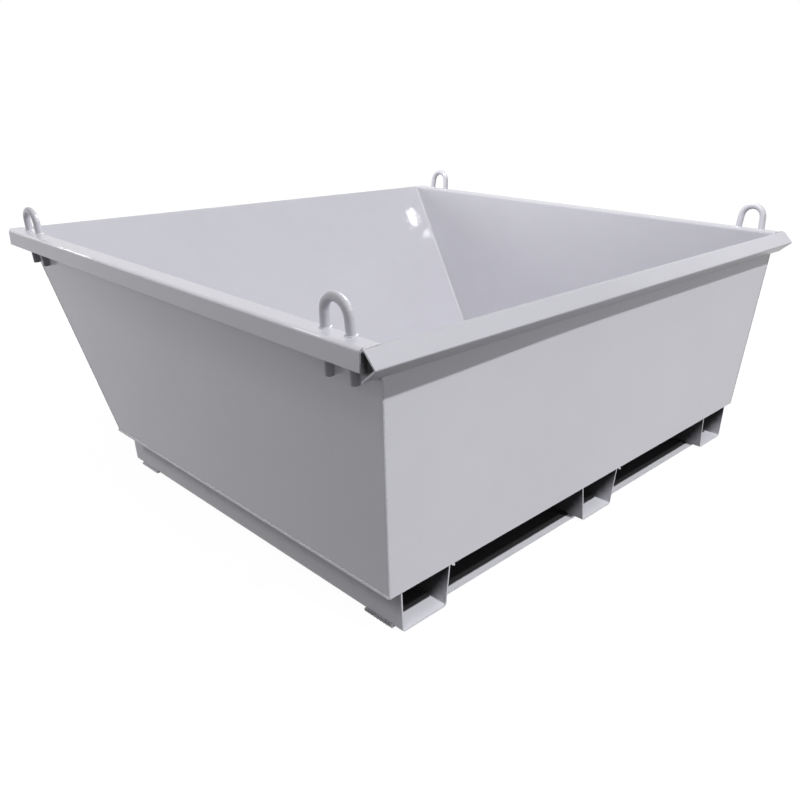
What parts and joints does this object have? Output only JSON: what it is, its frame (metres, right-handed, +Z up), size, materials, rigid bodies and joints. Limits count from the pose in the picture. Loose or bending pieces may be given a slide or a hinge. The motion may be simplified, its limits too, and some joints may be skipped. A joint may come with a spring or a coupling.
{
  "type": "construction waste hopper",
  "caption": "Open welded sheet steel tub with a sloped back wall, folded rims, lifting eyes, and a base of open channels and flat bars that forks can enter.",
  "frame": {"origin": "middle of the bounding box in plan, on the ground under the cross bars", "axes": "+X along the front wall to the right, +Y from the upright front wall towards the sloped back wall, +Z up"},
  "size_m": [2, 1.8018, 0.8496],
  "materials": {
    "paint": "semi-gloss light grey paint over sheet steel",
    "weld_paint": "the same light grey paint over weld beads"
  },
  "bodies": {
    "root": {"floor_sheet": "paint", "front_wall": "paint", "back_wall": "paint", "left_wall": "paint", "right_wall": "paint", "front_left_lifting_eye": "paint", "front_left_eye_front_leg_weld": "weld_paint", "front_left_eye_back_leg_weld": "weld_paint", "front_right_lifting_eye": "paint", "front_right_eye_front_leg_weld": "weld_paint", "front_right_eye_back_leg_weld": "weld_paint", "back_left_lifting_eye": "paint", "back_left_eye_front_leg_weld": "weld_paint", "back_left_eye_back_leg_weld": "weld_paint", "back_right_lifting_eye": "paint", "back_right_eye_front_leg_weld": "weld_paint", "back_right_eye_back_leg_weld": "weld_paint", "left_channel": "paint", "left_channel_left_weld": "weld_paint", "left_channel_right_weld": "weld_paint", "middle_channel": "paint", "middle_channel_left_weld": "weld_paint", "middle_channel_right_weld": "weld_paint", "right_channel": "paint", "right_channel_left_weld": "weld_paint", "right_channel_right_weld": "weld_paint", "front_cross_bar": "paint", "rear_cross_bar": "paint", "front_left_outer_corner_weld": "weld_paint", "front_left_inner_corner_weld": "weld_paint", "back_left_outer_corner_weld": "weld_paint", "back_left_inner_corner_weld": "weld_paint", "left_floor_weld": "weld_paint", "left_rim_weld": "weld_paint", "front_right_outer_corner_weld": "weld_paint", "front_right_inner_corner_weld": "weld_paint", "back_right_outer_corner_weld": "weld_paint", "back_right_inner_corner_weld": "weld_paint", "right_floor_weld": "weld_paint", "right_rim_weld": "weld_paint", "back_floor_weld": "weld_paint"}
  },
  "joints": []
}
